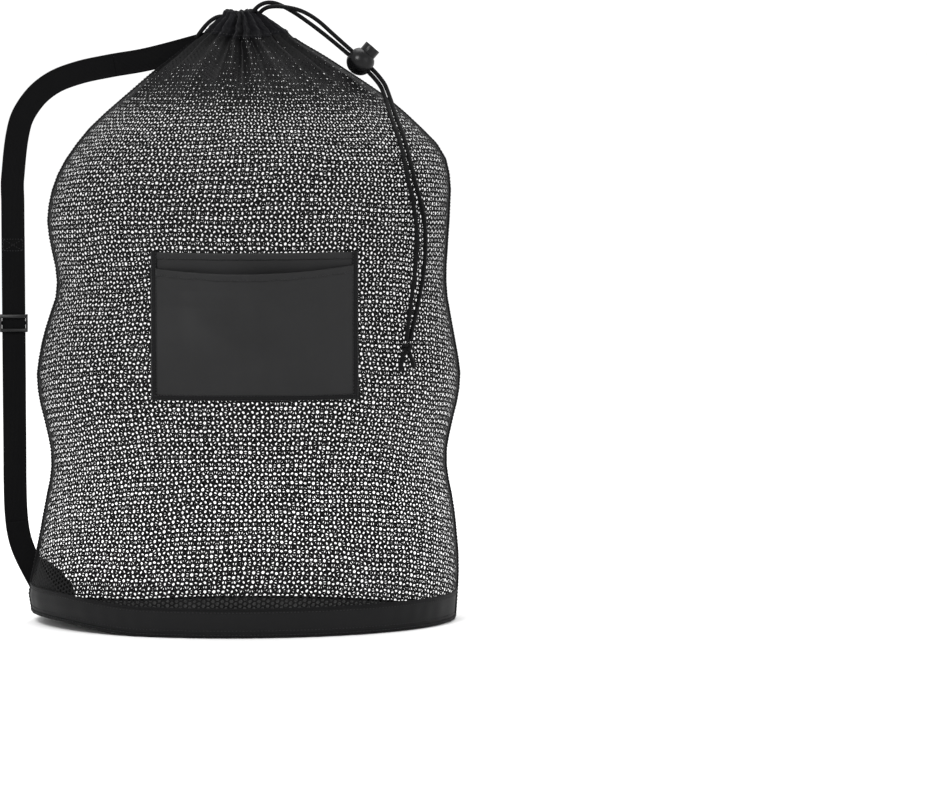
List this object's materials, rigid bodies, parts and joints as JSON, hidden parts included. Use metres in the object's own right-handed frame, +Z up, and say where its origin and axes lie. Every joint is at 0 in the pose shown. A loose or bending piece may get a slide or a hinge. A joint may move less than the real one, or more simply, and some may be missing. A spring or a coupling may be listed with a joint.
{
  "type": "mesh ball bag",
  "caption": "Drawstring mesh sack in its filled shape, with a solid base band, front pocket, shoulder strap with slider and a ball cord lock.",
  "frame": {"origin": "middle of the base panel's underside, where the bag stands", "axes": "+Z up through the neck, -Y out of the pocket side, +X towards the hanging drawcord, shoulder strap on -X"},
  "size_m": [0.5984, 0.4252, 0.8056],
  "materials": {
    "net": "matt black knitted polyester net",
    "solid_fabric": "matt black woven polyester",
    "pocket_cloth": "coated oxford weave, soft sheen",
    "binding_tape": "matt woven tape",
    "webbing": "woven webbing with ribbed edges",
    "cord": "braided polyester cord",
    "slider_plastic": "moulded, satin",
    "lock_plastic": "moulded, semi-gloss",
    "spring_steel": "bright wire"
  },
  "bodies": {
    "bag": {"front_mesh_panel": "net", "back_mesh_panel": "net", "base_band": "solid_fabric", "base_band_piping": "binding_tape", "front_base_binding": "binding_tape", "back_base_binding": "binding_tape", "left_seam_binding": "binding_tape", "right_seam_binding": "binding_tape", "base_panel": "solid_fabric", "corner_patch": "solid_fabric", "neck_hem": "solid_fabric", "drawcord_ring": "cord", "drawcord_side_loop": "cord", "drawcord_upper_strand": "cord", "drawcord_lower_strand": "cord", "drawcord_knot": "cord", "drawcord_left_tail": "cord", "drawcord_right_tail": "cord", "pocket_back_panel": "pocket_cloth", "pocket_back_hem": "pocket_cloth", "pocket_front_panel": "pocket_cloth", "pocket_front_hem": "pocket_cloth", "pocket_left_binding": "binding_tape", "pocket_right_binding": "binding_tape", "pocket_bottom_binding": "binding_tape", "strap_upper_anchor": "webbing", "strap_lower_anchor": "webbing"},
    "strap": {"strap_webbing": "webbing", "strap_return_layer": "webbing"},
    "slider": {"strap_slider": "slider_plastic"},
    "cord_lock": {"cord_lock_body": "lock_plastic", "cord_lock_spring": "spring_steel"},
    "lock_button": {"cord_lock_button": "lock_plastic"}
  },
  "joints": [
    {"name": "strap_swing", "type": "hinge", "parent": "bag", "child": "strap", "pos_m": [-0.124, 0, 0.7295], "axis": [0.2466, 0, 0.9691], "range_deg": [-40, 40], "stiffness_Nm_per_rad": 0.15},
    {"name": "slider_slide", "type": "slide", "parent": "strap", "child": "slider", "axis": [0, 0, 1], "range_m": [-0.08, 0.08]},
    {"name": "cord_lock_slide", "type": "slide", "parent": "bag", "child": "cord_lock", "axis": [0.7562, 0, -0.6544], "range_m": [-0.01, 0.002]},
    {"name": "lock_button_press", "type": "slide", "parent": "cord_lock", "child": "lock_button", "axis": [0.6544, 0, 0.7562], "range_m": [-0.004, 0], "stiffness_N_per_m": 500, "springref_m": 0.003, "deforming": ["cord_lock_spring"]}
  ]
}
